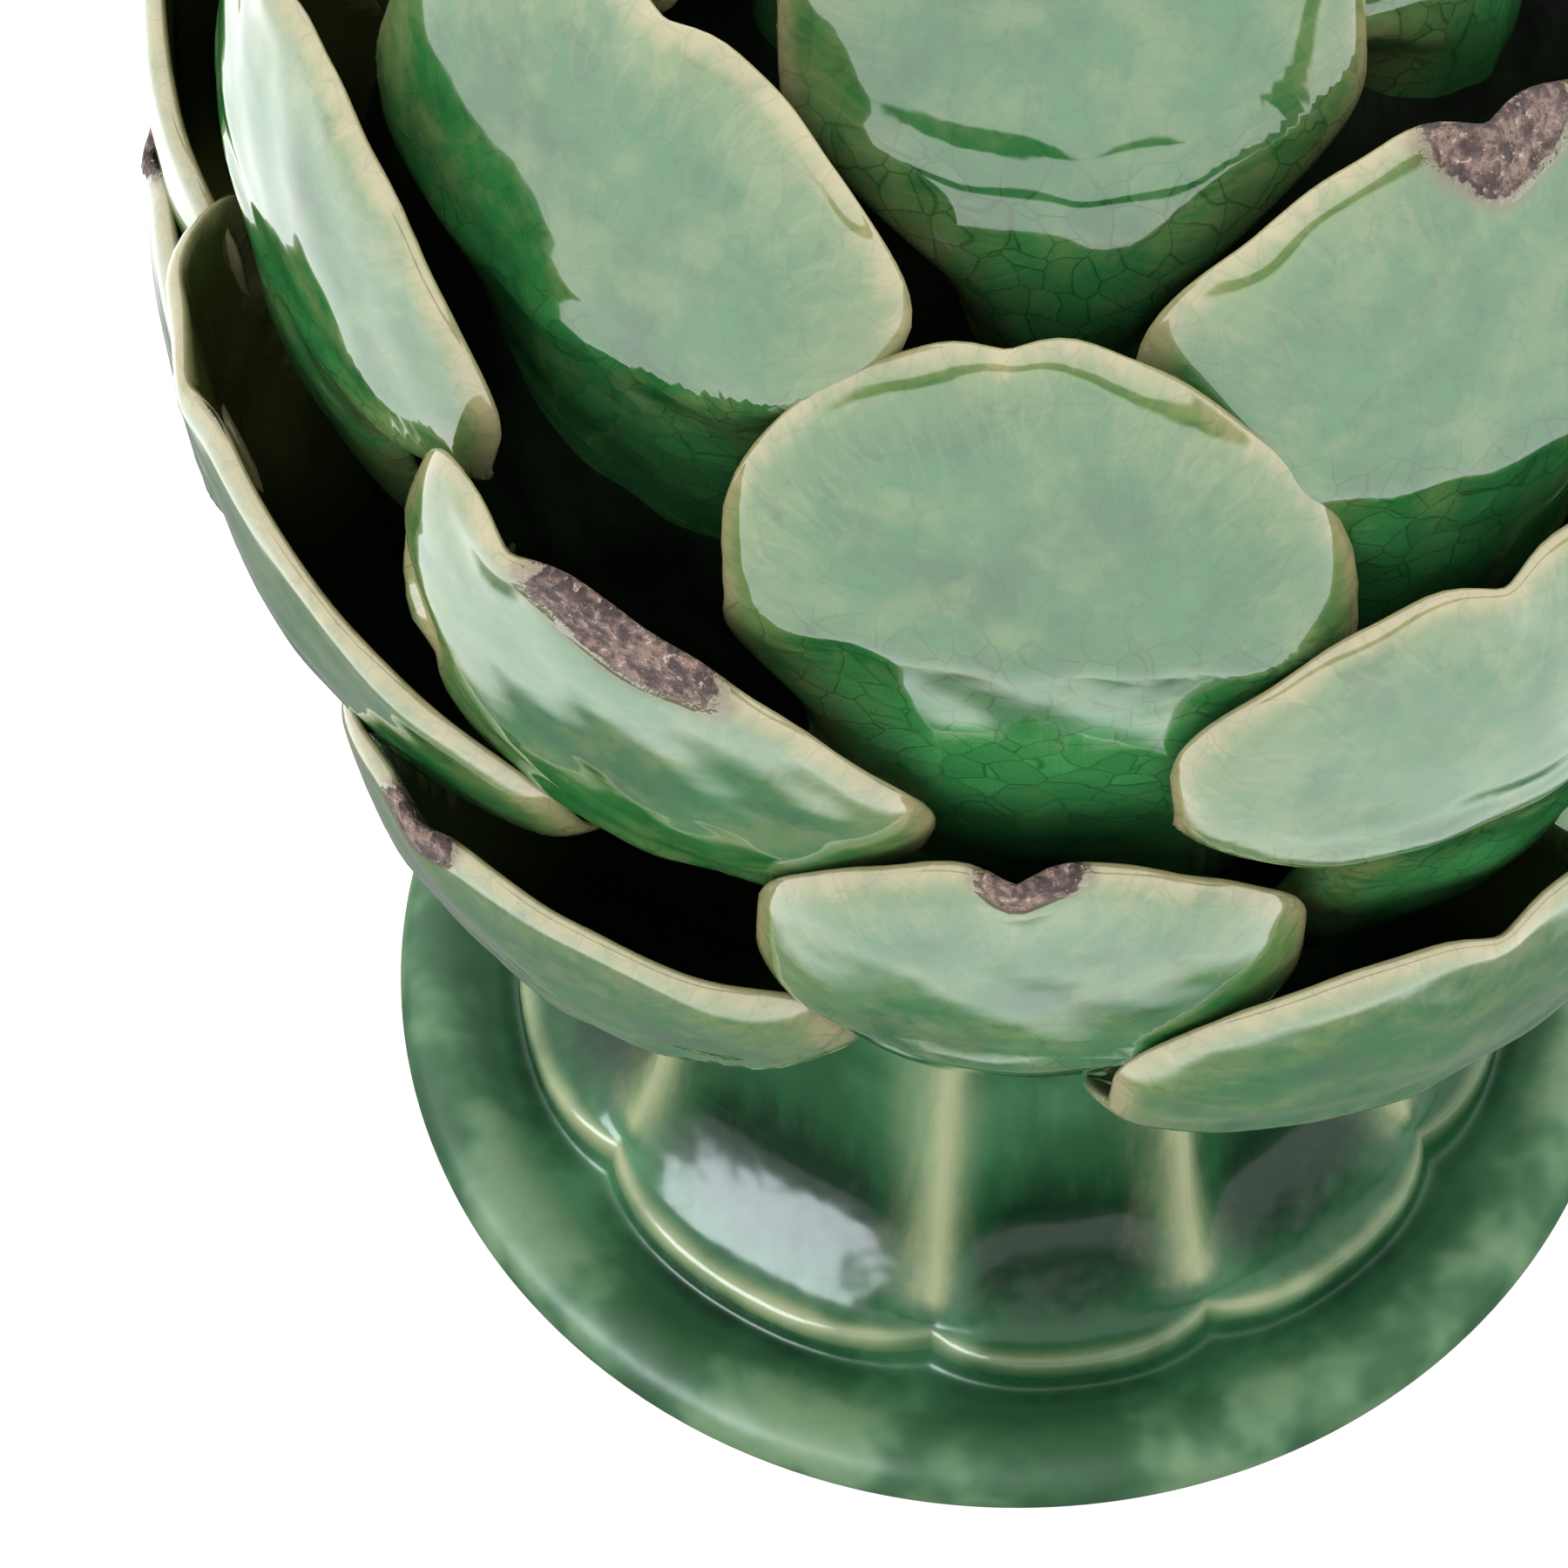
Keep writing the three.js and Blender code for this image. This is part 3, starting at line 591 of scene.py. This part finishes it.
class Shader:
    """A material's nodes, added one at a time."""

    def __init__(self, name):
        self.material = bpy.data.materials.new(name)
        self.material.use_nodes = True
        self.tree = self.material.node_tree
        self.tree.nodes.clear()

    def add(self, kind, inputs=None, **settings):
        made = self.tree.nodes.new(kind)
        for key, value in settings.items():
            setattr(made, key, value)
        for key, value in (inputs or {}).items():
            self.put(made, key, value)
        return made

    def put(self, made, key, value):
        if isinstance(value, bpy.types.NodeSocket):
            self.tree.links.new(value, made.inputs[key])
        else:
            made.inputs[key].default_value = value

    def value(self, name):
        return self.add("ShaderNodeAttribute", attribute_name=name).outputs["Fac"]

    def math(self, operation, *values):
        inputs = dict(enumerate(values))
        return self.add("ShaderNodeMath", inputs, operation=operation).outputs[0]

    def ramp(self, value, start, end, low=0.0, high=1.0):
        inputs = {"Value": value, "From Min": start, "From Max": end, "To Min": low, "To Max": high}
        made = self.add("ShaderNodeMapRange", inputs, interpolation_type="SMOOTHSTEP")
        return made.outputs["Result"]

    def mix(self, factor, first, second):
        made = self.add("ShaderNodeMix", {"Factor": factor}, data_type="RGBA")
        self.put(made, 6, first)
        self.put(made, 7, second)
        return made.outputs[2]

    def darken(self, factor, colour, by):
        made = self.add("ShaderNodeMix", {"Factor": factor}, data_type="RGBA", blend_type="MULTIPLY")
        self.put(made, 6, colour)
        self.put(made, 7, by)
        return made.outputs[2]

    def vector(self, x, y, z):
        return self.add("ShaderNodeCombineXYZ", {0: x, 1: y, 2: z}).outputs[0]

    def scaled(self, vector, size):
        made = self.add("ShaderNodeVectorMath", {0: vector, "Scale": size}, operation="SCALE")
        return made.outputs[0]

    def plus(self, first, second):
        return self.add("ShaderNodeVectorMath", {0: first, 1: second}, operation="ADD").outputs[0]

    def noise(self, vector, scale, detail=3.0, roughness=0.5):
        inputs = {"Vector": vector, "Scale": scale, "Detail": detail, "Roughness": roughness}
        return self.add("ShaderNodeTexNoise", inputs).outputs

    def cracks(self, vector, scale):
        inputs = {"Vector": vector, "Scale": scale}
        made = self.add("ShaderNodeTexVoronoi", inputs, feature="DISTANCE_TO_EDGE")
        return made.outputs["Distance"]

    def cells(self, vector, scale):
        inputs = {"Vector": vector, "Scale": scale}
        return self.add("ShaderNodeTexVoronoi", inputs).outputs

    def place_mm(self):
        coordinates = self.add("ShaderNodeTexCoord").outputs["Object"]
        return self.scaled(coordinates, 1 / MM)

    def bump(self, height, distance_mm, normal=None):
        inputs = {"Height": height, "Distance": distance_mm * MM}
        if normal is not None:
            inputs["Normal"] = normal
        return self.add("ShaderNodeBump", inputs).outputs[0]

    def surface(self, inputs):
        principled = self.add("ShaderNodeBsdfPrincipled", inputs)
        self.add("ShaderNodeOutputMaterial", {"Surface": principled.outputs[0]})
        return self.material


def rgb(red, green, blue):
    return (red, green, blue, 1.0)


GLAZE_IOR = 1.75
FOOT_IOR = 1.28
DEEP_GREEN = rgb(0.006, 0.050, 0.014)
GREEN = rgb(0.013, 0.085, 0.022)
PALE_GREEN = rgb(0.080, 0.125, 0.042)
CREAM = rgb(0.215, 0.190, 0.098)
RIB_CREAM = rgb(0.240, 0.260, 0.150)
FOOT_GREEN = rgb(0.036, 0.118, 0.052)
FOOT_DEEP = rgb(0.008, 0.045, 0.016)
FOOT_PALE = rgb(0.090, 0.155, 0.080)
POOL_SHADE_GREEN = rgb(0.002, 0.015, 0.005)
OLIVE = rgb(0.050, 0.060, 0.014)
BODY_OLIVE = rgb(0.100, 0.120, 0.045)
BODY_PAINTED_LIGHT_GREEN = rgb(0.030, 0.165, 0.048)
SHADE_DARK_OLIVE = rgb(0.004, 0.008, 0.003)
SHADE_NEAR_BLACK = rgb(0.0012, 0.0022, 0.001)
STAIN = rgb(0.075, 0.050, 0.018)
BARE_BROWN = rgb(0.150, 0.104, 0.086)
BARE_DARK = rgb(0.040, 0.028, 0.027)
BARE_PALE = rgb(0.360, 0.290, 0.250)
CLAY_MIRROR = rgb(0.12, 0.11, 0.11)
CRACKLE = 0.3  # cells of the crackle to a millimetre
FINE_CRACKLE = 0.75


def crazed_place(shader, place):
    """The place, nudged about so that cracks don't run in straight lines."""
    wander = shader.noise(place, 0.22, 1.0)[1]
    return shader.plus(place, shader.scaled(wander, 2.4))


def leaf_glaze():
    shader = Shader("leaf_glaze")
    place = shader.place_mm()
    rim = shader.value("rim")
    below = shader.value("below")
    inside = shader.value("inside")
    bare = shader.value("bare")
    tone = shader.value("tone")
    fan_reach = shader.math("MULTIPLY", shader.value("fan_reach"), 0.16)
    fan = shader.vector(shader.value("fan_turn"), fan_reach, tone)

    patches = shader.noise(place, 0.11, 3.0)[0]
    streaks = shader.noise(fan, 1.1, 3.0, 0.6)[0]
    grain = shader.noise(place, 0.9, 3.0, 0.6)[0]
    clouds = shader.noise(shader.plus(place, (40.0, 15.0, 70.0)), 0.16, 4.0, 0.62)[0]

    # glaze: deeper where it pools in the crease and below it, pale where it thins near the rim
    depth = shader.math("ADD", patches, shader.ramp(below, -2.0, 12.0, 0.0, 0.14))
    colour = shader.mix(shader.ramp(depth, 0.42, 0.85), GREEN, DEEP_GREEN)
    thinning = shader.math("ADD", rim, shader.math("MULTIPLY", streaks, 9.0))
    colour = shader.mix(shader.ramp(thinning, 5.0, 14.0, 0.9, 0.0), colour, PALE_GREEN)
    colour = shader.mix(shader.ramp(clouds, 0.44, 0.7, 0.0, 0.6), colour, PALE_GREEN)
    colour = shader.mix(shader.ramp(clouds, 0.42, 0.3, 0.0, 0.5), colour, DEEP_GREEN)
    # painted light: the curled body below the crease is painted a brighter green, standing in for light that
    # its shade keeps off
    colour = shader.mix(shader.ramp(below, 3.0, 14.0, 0.0, 0.7), colour, BODY_PAINTED_LIGHT_GREEN)

    # thin pale lines left by the brush, and darker runs beside the rim
    brushed = shader.add("ShaderNodeVectorMath", {0: fan, 1: (0.8, 0.3, 1.0)}, operation="MULTIPLY")
    swayed = shader.plus(brushed.outputs[0], shader.scaled(shader.noise(place, 0.12, 0.0)[1], 1.6))
    wisps = shader.noise(swayed, 1.0, 2.0, 0.5)[0]
    off_middle = shader.math("ABSOLUTE", shader.math("SUBTRACT", wisps, 0.5))
    by_rim = shader.ramp(rim, 3.0, 13.0, 0.13, 0.02)
    wisp = shader.math("MULTIPLY", shader.ramp(off_middle, 0.0, 0.05, 1.0, 0.0), by_rim)
    colour = shader.mix(wisp, colour, CREAM)
    beside = shader.math("MULTIPLY", shader.ramp(rim, 1.5, 3.5), shader.ramp(rim, 6.0, 9.0, 1.0, 0.0))
    run = shader.math("MULTIPLY", beside, shader.ramp(patches, 0.53, 0.6, 0.0, 0.5))
    colour = shader.mix(run, colour, GREEN)

    # cream along the rim, reaching in by streaks
    edge = shader.math("ADD", rim, shader.math("MULTIPLY", streaks, -3.2))
    edge = shader.math("ADD", edge, shader.math("MULTIPLY", grain, -1.2))
    on_face = shader.ramp(below, 2.0, 9.0, 1.0, 0.0)
    on_rim = shader.math("MULTIPLY", shader.ramp(edge, -2.6, 0.4, 1.0, 0.0), on_face)
    colour = shader.mix(on_rim, colour, CREAM)

    # paler and olive along the sides of the body
    beside_body = shader.math("MULTIPLY", shader.ramp(below, 2.0, 8.0), shader.ramp(rim, 1.0, 7.0, 0.75, 0.0))
    beside_body = shader.math("MULTIPLY", beside_body, shader.ramp(clouds, 0.4, 0.58))
    colour = shader.mix(beside_body, colour, BODY_OLIVE)

    # crackle
    warped = crazed_place(shader, place)
    crack = shader.cracks(warped, CRACKLE)
    fine_crack = shader.cracks(warped, FINE_CRACKLE)
    on_curl = shader.ramp(below, -2.0, 3.0, 0.25, 0.8)
    line = shader.math("MULTIPLY", shader.ramp(crack, 0.0, 0.045, 1.0, 0.0), on_curl)
    fine_line = shader.math("MULTIPLY", shader.ramp(fine_crack, 0.0, 0.05, 0.45, 0.0), on_curl)
    shard = shader.ramp(shader.cells(warped, CRACKLE)["Color"], 0.1, 0.9)
    colour = shader.darken(shader.math("MULTIPLY", shard, on_curl), colour, rgb(0.74, 0.78, 0.74))
    colour = shader.darken(line, colour, rgb(0.4, 0.46, 0.4))
    colour = shader.darken(fine_line, colour, rgb(0.6, 0.66, 0.6))

    # inner face: olive near the rim, with painted shade making it nearly black further in
    painted_shade_in = shader.ramp(shader.math("ADD", rim, shader.math("MULTIPLY", patches, 4.0)), 3.5, 17.0)
    inner = shader.mix(painted_shade_in, OLIVE, SHADE_DARK_OLIVE)
    inner = shader.mix(shader.ramp(edge, -2.6, -0.2, 1.0, 0.0), inner, CREAM)
    colour = shader.mix(shader.ramp(inside, 0.5, 0.95), colour, inner)

    # unglazed spots, with a stained edge
    ragged = shader.math("ADD", bare, shader.math("MULTIPLY", shader.math("SUBTRACT", grain, 0.5), 0.22))
    speckle = shader.noise(place, 1.2, 4.0, 0.72)[0]
    blotch = shader.noise(place, 0.42, 2.0, 0.65)[0]
    clay = shader.mix(shader.ramp(blotch, 0.4, 0.58), BARE_DARK, BARE_BROWN)
    clay = shader.mix(shader.ramp(speckle, 0.36, 0.54, 0.85, 0.0), clay, BARE_DARK)
    clay = shader.mix(shader.ramp(speckle, 0.56, 0.68, 0.0, 0.7), clay, BARE_PALE)
    clay = shader.mix(shader.ramp(ragged, 0.47, 0.56, 0.9, 0.0), clay, BARE_DARK)
    stain = shader.ramp(ragged, 0.3, 0.47)
    colour = shader.mix(shader.math("MULTIPLY", stain, 0.8), colour, STAIN)
    is_bare = shader.ramp(ragged, 0.475, 0.505)
    colour = shader.mix(is_bare, colour, clay)
    mirror = shader.mix(is_bare, rgb(1, 1, 1), CLAY_MIRROR)

    dry = shader.math("MULTIPLY", is_bare, 0.6)
    roughness = shader.math("ADD", dry, shader.ramp(grain, 0.3, 0.7, 0.035, 0.07))
    swell = shader.noise(place, 0.16, 1.0)[0]
    ripple = shader.bump(swell, 0.17)
    pits = shader.math("MULTIPLY", shader.noise(place, 1.2, 2.0, 0.72)[0], shader.ramp(bare, 0.4, 0.52))
    ripple = shader.bump(pits, 0.9, ripple)
    return shader.surface({
        "Base Color": colour, "Roughness": roughness, "IOR": GLAZE_IOR, "Normal": ripple,
        "Specular Tint": mirror,
    })


def bulb_glaze_painted_shade():
    shader = Shader("bulb_glaze_painted_shade")
    place = shader.place_mm()
    patches = shader.noise(place, 0.12, 4.0)[0]
    # painted shade: the bulb is painted nearly black, as it lies in shade between the leaves; its low part is
    # deep green glaze
    colour = shader.mix(shader.ramp(patches, 0.35, 0.7), SHADE_NEAR_BLACK, SHADE_DARK_OLIVE)
    height = shader.add("ShaderNodeSeparateXYZ", {0: place}).outputs[2]
    colour = shader.mix(shader.ramp(height, 84.0, 98.0, 1.0, 0.0), colour, DEEP_GREEN)
    crack = shader.cracks(crazed_place(shader, place), 0.36)
    colour = shader.darken(shader.ramp(crack, 0.0, 0.05, 1.0, 0.0), colour, rgb(0.6, 0.6, 0.6))
    ripple = shader.bump(patches, 0.6)
    return shader.surface({
        "Base Color": colour, "Roughness": 0.5, "IOR": 1.4, "Specular IOR Level": 0.1, "Normal": ripple,
    })


def foot_glaze():
    shader = Shader("foot_glaze")
    place = shader.place_mm()
    pool_and_shade = shader.value("pool_and_shade")
    rib = shader.value("rib")
    edge = shader.value("edge")
    outward = shader.value("outward")
    patches = shader.noise(place, 0.07, 3.0)[0]
    grain = shader.noise(place, 0.6, 4.0, 0.6)[0]
    upright = shader.add("ShaderNodeVectorMath", {0: place, 1: (1.0, 1.0, 0.12)}, operation="MULTIPLY")
    streaks = shader.noise(upright.outputs[0], 0.35, 4.0, 0.6)[0]

    # green, deeper by patches, darkest where the glaze pools and where painted shade and painted dark
    # reflection lie in the flutes and under the scallops, paler on the round rim
    colour = shader.mix(shader.ramp(patches, 0.35, 0.65), FOOT_GREEN, FOOT_DEEP)
    on_rim = shader.ramp(outward, 0.55, 1.0)
    rim_patches = shader.math("MULTIPLY", on_rim, shader.ramp(patches, 0.4, 0.56, 0.95, 0.1))
    colour = shader.mix(rim_patches, colour, FOOT_PALE)
    unsteady = shader.math("MULTIPLY", shader.math("SUBTRACT", streaks, 0.5), 0.6)
    pooled_and_shaded = shader.math("ADD", pool_and_shade, unsteady)
    colour = shader.mix(shader.ramp(pooled_and_shaded, 0.1, 0.7), colour, FOOT_DEEP)
    colour = shader.mix(shader.ramp(pooled_and_shaded, 0.55, 0.95), colour, POOL_SHADE_GREEN)

    # thin and pale over the ribs and the scalloped edge
    worn = shader.math("ADD", rib, unsteady)
    colour = shader.mix(shader.ramp(worn, 0.05, 1.0, 0.0, 0.9), colour, RIB_CREAM)
    broken = shader.math("MULTIPLY", edge, shader.ramp(patches, 0.3, 0.6, 1.0, 0.45))
    colour = shader.mix(shader.ramp(broken, 0.1, 1.0, 0.0, 0.85), colour, RIB_CREAM)

    crack = shader.cracks(crazed_place(shader, place), 0.34)
    faint = shader.ramp(crack, 0.0, 0.045, 0.12, 0.0)
    colour = shader.darken(faint, colour, rgb(0.6, 0.65, 0.6))
    ripple = shader.bump(patches, 0.8)
    dull_rim = shader.ramp(outward, 0.0, 0.3, 0.0, 0.25)
    roughness = shader.math("ADD", shader.ramp(grain, 0.3, 0.7, 0.2, 0.24), dull_rim)
    return shader.surface({
        "Base Color": colour, "Roughness": roughness, "IOR": FOOT_IOR, "Normal": ripple,
    })


# ---------------------------------------------------------------- putting it together


def add_piece(name, shape, material, node):
    points, faces, attributes = shape
    mesh = bpy.data.meshes.new(name)
    mesh.from_pydata((points * MM).tolist(), [], faces)
    mesh.polygons.foreach_set("use_smooth", [True] * len(mesh.polygons))
    for key, values in attributes.items():
        layer = mesh.attributes.new(key, "FLOAT", "POINT")
        layer.data.foreach_set("value", np.asarray(values, np.float32))
    mesh.materials.append(material)
    mesh.update()
    made = bpy.data.objects.new(name, mesh)
    bpy.context.scene.collection.objects.link(made)
    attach(made, "root")
    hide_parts(node)
    return made


def add_artichoke():
    leaf_material = leaf_glaze()
    for leaf in all_leaves():
        name = f"leaf_{leaf.number + 1:02d}"
        add_piece(name, leaf_mesh(leaf), leaf_material, "head")
    add_piece("bulb", bulb_mesh(), bulb_glaze_painted_shade(), "head")
    return add_piece("pedestal", foot_mesh(), foot_glaze(), "foot")


# The photograph's camera: looking down, with this many pixels to a millimetre at the aim.
IMAGE_SIDE = 1800
CAMERA_ELEVATION = 57.5  # degrees
CAMERA_DISTANCE = 900  # mm
CLIP_START = 0.05  # metres
CLIP_END = 50
PIXELS_PER_MM = 13.5
SENSOR_WIDTH = 36
HEAD_PIXEL_X = 1192
HEAD_PIXEL_Y = 190
HEAD_MARK = 134.2  # height on the axis that falls on that pixel, mm


def add_camera():
    elevation = math.radians(CAMERA_ELEVATION)
    right = Vector((1, 0, 0))
    back = Vector((0, -math.cos(elevation), math.sin(elevation)))
    up = Vector((0, math.sin(elevation), math.cos(elevation)))
    aim = Vector((0, 0, HEAD_MARK))
    aim -= right * (HEAD_PIXEL_X - IMAGE_SIDE / 2) / PIXELS_PER_MM
    aim -= up * (IMAGE_SIDE / 2 - HEAD_PIXEL_Y) / PIXELS_PER_MM
    camera = bpy.data.objects.new("camera", bpy.data.cameras.new("camera"))
    camera.data.sensor_width = SENSOR_WIDTH
    camera.data.lens = SENSOR_WIDTH * PIXELS_PER_MM * CAMERA_DISTANCE / IMAGE_SIDE
    camera.data.clip_start = CLIP_START
    camera.data.clip_end = CLIP_END
    turn = Matrix((right, up, back)).transposed().to_4x4()
    camera.matrix_world = Matrix.Translation((aim + back * CAMERA_DISTANCE) * MM) @ turn
    bpy.context.scene.collection.objects.link(camera)
    bpy.context.scene.camera = camera


# A bright studio all round, with a dark panel in front that gives the glaze its dark reflections.
WORLD_BRIGHTNESS = 2.8
WORLD_DARK = 0.15
PANEL_TOWARDS = (0.34, -0.94, 0)
PANEL_SIDES = (0.12, 0.5)  # how much a direction points towards the panel: outside, and inside
PANEL_BOTTOM = (0.33, 0.42)  # and how much upwards, for its bottom and its top
PANEL_TOP = (0.53, 0.59)

# The floor glows away from the foot. It is white to the camera.
FLOOR_HALF = 6  # metres
FLOOR_DROP = 0.0002
FLOOR_GLOW_NEAR = 0.12
FLOOR_GLOW_FAR = 2.3
FLOOR_GLOW_RADII = (0.12, 0.152)  # metres
FLOOR_FILL = 1.1  # glow that lights the object softly from below
FLOOR_COLOUR = rgb(0.1, 0.1, 0.1)

SOFTBOX_AIM = 0.08  # height of what the softbox faces, metres


def limit_bounces():
    """After a few bounces the spaces between the leaves are dark, so more aren't worth their time."""
    cycles = bpy.context.scene.cycles
    cycles.max_bounces = 4
    cycles.diffuse_bounces = 2
    cycles.glossy_bounces = 3


def add_world():
    world = bpy.data.worlds.new("studio")
    world.use_nodes = True
    tree = world.node_tree
    background = tree.nodes["Background"]
    background.inputs["Color"].default_value = rgb(1, 1, 1)
    direction = tree.nodes.new("ShaderNodeTexCoord").outputs["Generated"]
    parts = tree.nodes.new("ShaderNodeSeparateXYZ")
    tree.links.new(direction, parts.inputs[0])

    def ramp(value, start, end, low, high):
        made = tree.nodes.new("ShaderNodeMapRange")
        made.interpolation_type = "SMOOTHSTEP"
        tree.links.new(value, made.inputs["Value"])
        for key, number in zip(("From Min", "From Max", "To Min", "To Max"), (start, end, low, high)):
            made.inputs[key].default_value = number
        return made.outputs["Result"]

    def times(first, second):
        made = tree.nodes.new("ShaderNodeMath")
        made.operation = "MULTIPLY"
        tree.links.new(first, made.inputs[0])
        tree.links.new(second, made.inputs[1])
        return made.outputs[0]

    front = tree.nodes.new("ShaderNodeVectorMath")
    front.operation = "DOT_PRODUCT"
    front.inputs[1].default_value = PANEL_TOWARDS
    tree.links.new(direction, front.inputs[0])
    facing = ramp(front.outputs["Value"], *PANEL_SIDES, 0.0, 1.0)
    above = ramp(parts.outputs["Z"], *PANEL_BOTTOM, 0.0, 1.0)
    under = ramp(parts.outputs["Z"], *PANEL_TOP, 1.0, 0.0)
    dark = times(times(facing, above), under)
    tree.links.new(ramp(dark, 0.0, 1.0, WORLD_BRIGHTNESS, WORLD_DARK), background.inputs["Strength"])
    bpy.context.scene.world = world


def add_floor():
    half = FLOOR_HALF
    mesh = bpy.data.meshes.new("floor")
    corners = [(-half, -half, 0), (half, -half, 0), (half, half, 0), (-half, half, 0)]
    mesh.from_pydata(corners, [], [(0, 1, 2, 3)])
    shader = Shader("pale_floor")
    place = shader.add("ShaderNodeTexCoord").outputs["Object"]
    away = shader.add("ShaderNodeVectorMath", {0: place}, operation="LENGTH").outputs["Value"]
    glow = shader.ramp(away, *FLOOR_GLOW_RADII, FLOOR_GLOW_NEAR, FLOOR_GLOW_FAR)
    path = shader.add("ShaderNodeLightPath").outputs
    glow = shader.math("MAXIMUM", glow, path["Is Camera Ray"])
    fill = shader.math("MULTIPLY", path["Is Diffuse Ray"], FLOOR_FILL)
    glow = shader.math("MAXIMUM", glow, fill)
    mesh.materials.append(shader.surface({
        "Base Color": FLOOR_COLOUR, "Roughness": 0.9, "Emission Color": rgb(1, 1, 1),
        "Emission Strength": glow, "Specular IOR Level": 0.1,
    }))
    floor = bpy.data.objects.new("floor", mesh)
    floor.location = (0, 0, -FLOOR_DROP)
    bpy.context.scene.collection.objects.link(floor)


def add_softbox(name, turn, elevation, distance, width, height, radiance, colour, lit):
    """A rectangular lamp, metres, that faces the middle of the object. Only one piece mirrors it."""
    light = bpy.data.lights.new(name, "AREA")
    light.shape = "RECTANGLE"
    light.size = width
    light.size_y = height
    light.color = colour
    light.energy = radiance * math.pi * width * height
    lamp = bpy.data.objects.new(name, light)
    a = math.radians(turn)
    e = math.radians(elevation)
    away = Vector((math.sin(a) * math.cos(e), -math.cos(a) * math.cos(e), math.sin(e)))
    lamp.location = away * distance + Vector((0, 0, SOFTBOX_AIM))
    lamp.rotation_mode = "QUATERNION"
    lamp.rotation_quaternion = away.to_track_quat("Z", "Y")
    bpy.context.scene.collection.objects.link(lamp)
    receivers = bpy.data.collections.new(f"lit_by_{name}")
    receivers.objects.link(lit)
    lamp.light_linking.receiver_collection = receivers
    lamp.visible_diffuse = False


limit_bounces()
add_camera()
add_world()
add_floor()
bpy.context.scene.view_settings.view_transform = "Standard"
pedestal = add_artichoke()
add_softbox("front_left_softbox", turn=-55, elevation=26, distance=1.2, width=0.9, height=0.7,
            radiance=34.0, colour=(0.86, 0.94, 1.0), lit=pedestal)
